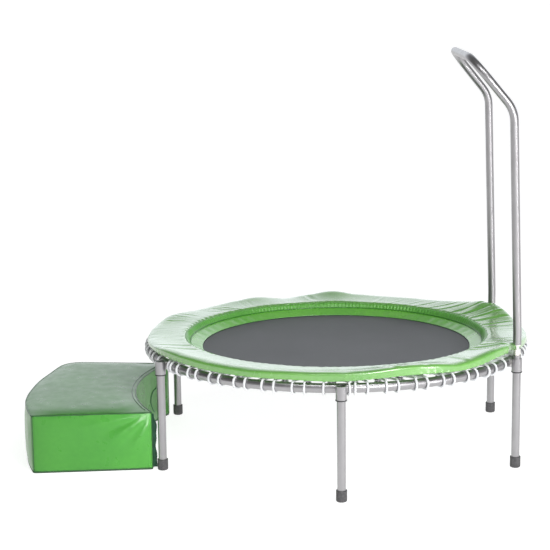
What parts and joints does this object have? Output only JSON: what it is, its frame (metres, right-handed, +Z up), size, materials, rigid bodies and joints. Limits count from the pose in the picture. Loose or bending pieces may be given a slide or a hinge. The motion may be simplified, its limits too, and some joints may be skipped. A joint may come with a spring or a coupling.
{
  "type": "mini trampoline",
  "caption": "Round exercise trampoline on six legs, with a laced mat, a padded vinyl rim, a bent support handle and a crescent foam step.",
  "frame": {"origin": "on the floor, under the middle of the object's bounding box", "axes": "+Z up, +X towards the support handle and along the object's length, -X towards the foam step"},
  "size_m": [1.6052, 1.2848, 1.2587],
  "materials": {
    "frame_steel": "satin",
    "bright_steel": "polished",
    "black_plastic": "satin",
    "foot_rubber": "matte",
    "mat_weave": "matte",
    "mat_webbing": "matte",
    "elastic_cord": "matte",
    "foam": "matte",
    "green_vinyl": "gloss",
    "black_vinyl": "matte",
    "zip_tape": "matte"
  },
  "bodies": {
    "frame": {"ring_tube_front": "frame_steel", "ring_tube_rear": "frame_steel", "socket_welds": "bright_steel", "leg_tube_front": "frame_steel", "leg_sleeve_front": "frame_steel", "leg_collar_front": "black_plastic", "leg_foot_front": "foot_rubber", "leg_tube_front_right": "frame_steel", "leg_sleeve_front_right": "frame_steel", "leg_collar_front_right": "black_plastic", "leg_foot_front_right": "foot_rubber", "leg_tube_rear_right": "frame_steel", "leg_sleeve_rear_right": "frame_steel", "leg_collar_rear_right": "black_plastic", "leg_foot_rear_right": "foot_rubber", "leg_tube_rear": "frame_steel", "leg_sleeve_rear": "frame_steel", "leg_collar_rear": "black_plastic", "leg_foot_rear": "foot_rubber", "leg_tube_rear_left": "frame_steel", "leg_sleeve_rear_left": "frame_steel", "leg_collar_rear_left": "black_plastic", "leg_foot_rear_left": "foot_rubber", "leg_tube_front_left": "frame_steel", "leg_sleeve_front_left": "frame_steel", "leg_collar_front_left": "black_plastic", "leg_foot_front_left": "foot_rubber", "leg_cap_front": "black_plastic", "leg_cap_rear": "black_plastic", "leg_cap_rear_left": "black_plastic", "leg_cap_front_left": "black_plastic", "leg_insert_front_right": "bright_steel", "leg_insert_rear_right": "bright_steel", "lacing_cord": "elastic_cord", "pad_foam": "foam", "pad_cover": "green_vinyl", "pad_inner_band": "green_vinyl", "pad_seam_piping": "green_vinyl", "pad_hem_elastic": "elastic_cord"},
    "mat": {"mat_fabric": "mat_weave", "mat_webbing": "mat_webbing", "mat_hooks": "frame_steel"},
    "handle": {"handle_bar": "frame_steel", "handle_stud_front": "bright_steel", "handle_stud_rear": "bright_steel"},
    "nut_front": {"coupling_nut_front": "bright_steel"},
    "nut_rear": {"coupling_nut_rear": "bright_steel"},
    "step": {"step_foam": "foam", "step_cover": "green_vinyl", "step_base": "black_vinyl", "step_welts": "green_vinyl", "step_zip": "zip_tape"}
  },
  "joints": [
    {"name": "mat_bounce", "type": "slide", "parent": "frame", "child": "mat", "axis": [0, 0, 1], "range_m": [-0.15, 0], "stiffness_N_per_m": 6000, "springref_m": 0.005, "deforming": ["lacing_cord"]},
    {"name": "handle_lift", "type": "slide", "parent": "frame", "child": "handle", "axis": [0, 0, 1], "range_m": [0, 0.06]},
    {"name": "nut_spin_front", "type": "hinge", "parent": "handle", "child": "nut_front", "pos_m": [0.7294, -0.31275, 0.363], "axis": [0, 0, 1], "continuous": true},
    {"name": "nut_spin_rear", "type": "hinge", "parent": "handle", "child": "nut_rear", "pos_m": [0.7294, 0.31275, 0.363], "axis": [0, 0, 1], "continuous": true},
    {"name": "step_pull", "type": "slide", "parent": "frame", "child": "step", "axis": [-1, 0, 0], "range_m": [0, 0.3]}
  ]
}
